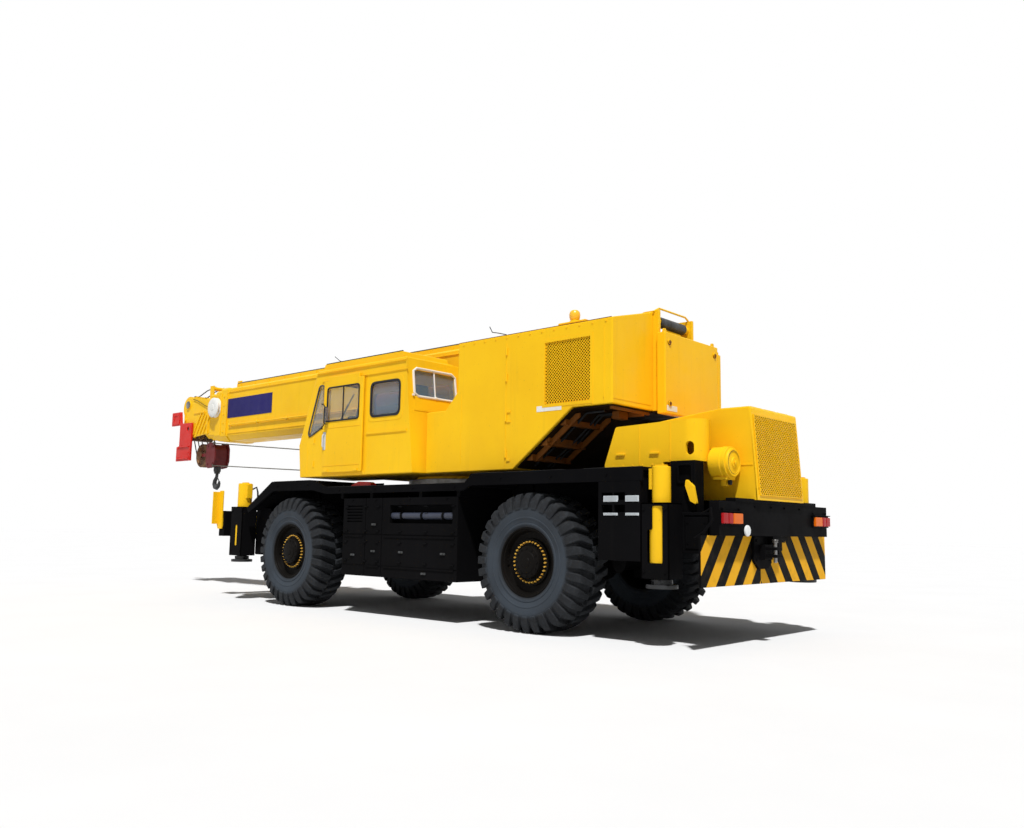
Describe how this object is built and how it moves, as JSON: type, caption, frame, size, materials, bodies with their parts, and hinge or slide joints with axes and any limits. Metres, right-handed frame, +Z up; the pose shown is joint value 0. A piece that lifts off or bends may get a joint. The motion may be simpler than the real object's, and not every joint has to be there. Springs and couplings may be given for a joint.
{
  "type": "rough-terrain mobile crane",
  "caption": "Rough-terrain mobile crane with a telescoping box boom, side cab and machine house slewing on a wheeled carrier with steered axles, rear engine hood and outriggers.",
  "frame": {"origin": "on the ground under the middle of the overall length and width", "axes": "+X forward along the stowed boom, +Y to the left, +Z up"},
  "size_m": [13.2, 2.9595, 3.94],
  "materials": {
    "yellow_paint": "semi-gloss yellow machine paint",
    "black_paint": "semi-gloss black chassis paint",
    "tyre_rubber": "worn black rubber",
    "rim_grey": "dull dark grey wheel paint",
    "bare_steel": "machined and greased steel",
    "chrome_rod": "hard chrome plated rod",
    "cab_glass": "flat tinted cab glass",
    "seat_black": "black vinyl seat and console",
    "red_paint": "red paint",
    "maroon_paint": "weathered maroon paint",
    "lamp_lens": "red and amber lamp lens",
    "amber_lens": "amber beacon lens",
    "engine_grey": "grey engine paint",
    "sheave_brown": "greased and rusty sheave"
  },
  "bodies": {
    "carrier": {"chassis_frame": "black_paint", "drive_line": "engine_grey", "axles": "black_paint", "decks": "black_paint", "lockers": "black_paint", "outrigger_boxes": "black_paint", "engine": "engine_grey", "engine_hood": "yellow_paint", "engine_covers": "yellow_paint", "hood_grille": "yellow_paint", "air_cleaner": "yellow_paint", "bumpers": "black_paint", "lamps": "lamp_lens", "slew_bearing": "bare_steel"},
    "steer_fl": {"knuckle_fl": "black_paint"},
    "wheel_fl": {"rim_fl": "rim_grey", "tyre_fl": "tyre_rubber"},
    "steer_fr": {"knuckle_fr": "black_paint"},
    "wheel_fr": {"rim_fr": "rim_grey", "tyre_fr": "tyre_rubber"},
    "steer_rl": {"knuckle_rl": "black_paint"},
    "wheel_rl": {"rim_rl": "rim_grey", "tyre_rl": "tyre_rubber"},
    "steer_rr": {"knuckle_rr": "black_paint"},
    "wheel_rr": {"rim_rr": "rim_grey", "tyre_rr": "tyre_rubber"},
    "outrigger_fl": {"beam_fl": "yellow_paint"},
    "float_fl": {"jack_fl": "bare_steel"},
    "outrigger_fr": {"beam_fr": "yellow_paint"},
    "float_fr": {"jack_fr": "bare_steel"},
    "outrigger_rl": {"beam_rl": "yellow_paint"},
    "float_rl": {"jack_rl": "bare_steel"},
    "outrigger_rr": {"beam_rr": "yellow_paint"},
    "float_rr": {"jack_rr": "bare_steel"},
    "upper": {"slewing_frame": "yellow_paint", "cab_body": "yellow_paint", "cab_glass": "cab_glass", "cab_seat": "seat_black", "house_left": "yellow_paint", "house_right": "yellow_paint", "house_grille": "yellow_paint", "counterweight": "yellow_paint", "winches": "bare_steel", "upper_fittings": "amber_lens"},
    "door": {"cab_door": "yellow_paint", "door_glass": "cab_glass"},
    "boom": {"boom_base": "yellow_paint"},
    "boom_stage_2": {"boom_second": "yellow_paint"},
    "boom_stage_3": {"boom_third": "yellow_paint"},
    "boom_stage_4": {"boom_fourth": "yellow_paint", "head_sheaves": "sheave_brown", "top_bracket": "red_paint", "hook_block": "maroon_paint"},
    "lift_barrel": {"lift_barrel": "yellow_paint"},
    "lift_rod": {"lift_rod": "chrome_rod"}
  },
  "joints": [
    {"name": "steer_fl", "type": "hinge", "parent": "carrier", "child": "steer_fl", "pos_m": [0.56, 1, 0.8085], "axis": [0, 0, 1], "range_deg": [-30, 30]},
    {"name": "spin_fl", "type": "hinge", "parent": "steer_fl", "child": "wheel_fl", "pos_m": [0.56, 1.18, 0.8085], "axis": [0, 1, 0], "continuous": true},
    {"name": "steer_fr", "type": "hinge", "parent": "carrier", "child": "steer_fr", "pos_m": [0.56, -1, 0.8085], "axis": [0, 0, 1], "range_deg": [-30, 30]},
    {"name": "spin_fr", "type": "hinge", "parent": "steer_fr", "child": "wheel_fr", "pos_m": [0.56, -1.18, 0.8085], "axis": [0, 1, 0], "continuous": true},
    {"name": "steer_rl", "type": "hinge", "parent": "carrier", "child": "steer_rl", "pos_m": [-4.16, 1, 0.8085], "axis": [0, 0, 1], "range_deg": [-30, 30]},
    {"name": "spin_rl", "type": "hinge", "parent": "steer_rl", "child": "wheel_rl", "pos_m": [-4.16, 1.18, 0.8085], "axis": [0, 1, 0], "continuous": true},
    {"name": "steer_rr", "type": "hinge", "parent": "carrier", "child": "steer_rr", "pos_m": [-4.16, -1, 0.8085], "axis": [0, 0, 1], "range_deg": [-30, 30]},
    {"name": "spin_rr", "type": "hinge", "parent": "steer_rr", "child": "wheel_rr", "pos_m": [-4.16, -1.18, 0.8085], "axis": [0, 1, 0], "continuous": true},
    {"name": "outrigger_out_fl", "type": "slide", "parent": "carrier", "child": "outrigger_fl", "axis": [0, 1, 0], "range_m": [0, 1.85]},
    {"name": "jack_down_fl", "type": "slide", "parent": "outrigger_fl", "child": "float_fl", "axis": [0, 0, -1], "range_m": [0, 0.7]},
    {"name": "outrigger_out_fr", "type": "slide", "parent": "carrier", "child": "outrigger_fr", "axis": [0, -1, 0], "range_m": [0, 1.85]},
    {"name": "jack_down_fr", "type": "slide", "parent": "outrigger_fr", "child": "float_fr", "axis": [0, 0, -1], "range_m": [0, 0.7]},
    {"name": "outrigger_out_rl", "type": "slide", "parent": "carrier", "child": "outrigger_rl", "axis": [0, 1, 0], "range_m": [0, 1.85]},
    {"name": "jack_down_rl", "type": "slide", "parent": "outrigger_rl", "child": "float_rl", "axis": [0, 0, -1], "range_m": [0, 0.7]},
    {"name": "outrigger_out_rr", "type": "slide", "parent": "carrier", "child": "outrigger_rr", "axis": [0, -1, 0], "range_m": [0, 1.85]},
    {"name": "jack_down_rr", "type": "slide", "parent": "outrigger_rr", "child": "float_rr", "axis": [0, 0, -1], "range_m": [0, 0.7]},
    {"name": "slew", "type": "hinge", "parent": "carrier", "child": "upper", "pos_m": [-1.7, 0, 1.85], "axis": [0, 0, 1], "continuous": true},
    {"name": "door_slide", "type": "slide", "parent": "upper", "child": "door", "axis": [-1, 0, 0], "range_m": [0, 0.74]},
    {"name": "boom_luff", "type": "hinge", "parent": "upper", "child": "boom", "pos_m": [-4.75, 0, 3.3], "axis": [0, -1, 0], "range_deg": [0, 80]},
    {"name": "extend_2", "type": "slide", "parent": "boom", "child": "boom_stage_2", "axis": [1, 0, 0], "range_m": [0, 7]},
    {"name": "extend_3", "type": "slide", "parent": "boom_stage_2", "child": "boom_stage_3", "axis": [1, 0, 0], "range_m": [0, 7]},
    {"name": "extend_4", "type": "slide", "parent": "boom_stage_3", "child": "boom_stage_4", "axis": [1, 0, 0], "range_m": [0, 7]},
    {"name": "lift_swing", "type": "hinge", "parent": "upper", "child": "lift_barrel", "pos_m": [-2.85, 0, 2.19], "axis": [0, -1, 0], "range_deg": [-1, 86.69]},
    {"name": "lift_stroke", "type": "slide", "parent": "lift_barrel", "child": "lift_rod", "axis": [0.9925, 0, 0.1223], "range_m": [-0.005, 2.7957]}
  ],
  "couplings": [
    {"joint": "steer_fr", "follows": "steer_fl", "ratio": 1},
    {"joint": "steer_rr", "follows": "steer_rl", "ratio": 1},
    {"joint": "extend_3", "follows": "extend_2", "ratio": 1},
    {"joint": "extend_4", "follows": "extend_2", "ratio": 1},
    {"joint": "lift_swing", "follows": "boom_luff", "ratio": 1.0711},
    {"joint": "lift_stroke", "follows": "boom_luff", "m_per_rad": 1.9987}
  ]
}
